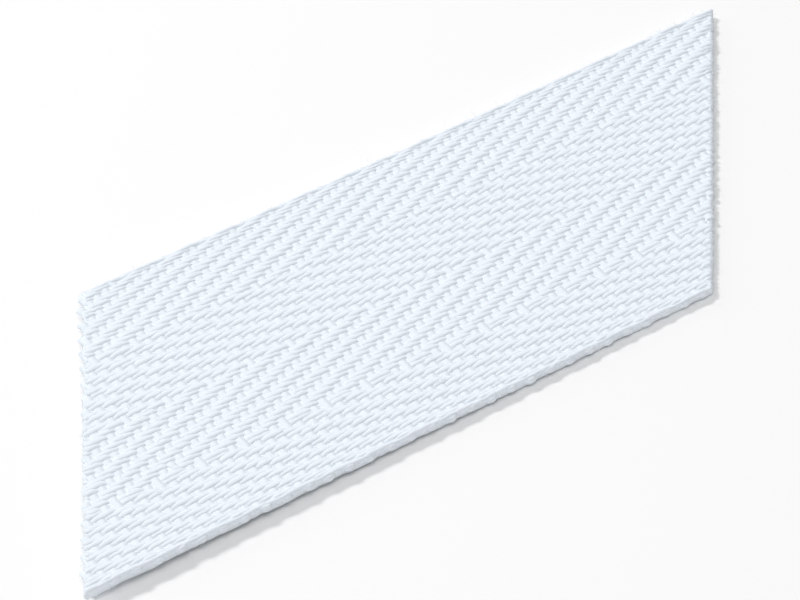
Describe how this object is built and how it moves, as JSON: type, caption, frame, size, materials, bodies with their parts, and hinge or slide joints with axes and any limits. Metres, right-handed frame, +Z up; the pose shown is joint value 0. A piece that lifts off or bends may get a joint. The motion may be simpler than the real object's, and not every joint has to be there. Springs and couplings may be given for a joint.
{
  "type": "cut length of herringbone cotton tape",
  "caption": "Flat cut length of white herringbone twill cotton tape with looped selvedges and slanted cut ends, for ties, bindings and bunting.",
  "frame": {"origin": "on the surface the tape lies on, under the middle of its bounding box", "axes": "+X along the tape, towards the end that lies flat; +Y across it, from the near selvedge to the far one; +Z up"},
  "size_m": [0.0578, 0.02, 0.0015],
  "materials": {
    "cotton": "bleached cotton yarn, matt and slightly blue-white, woven in a pointed twill with raised diagonal ribs"
  },
  "bodies": {
    "root": {"tape": "cotton"}
  },
  "joints": []
}
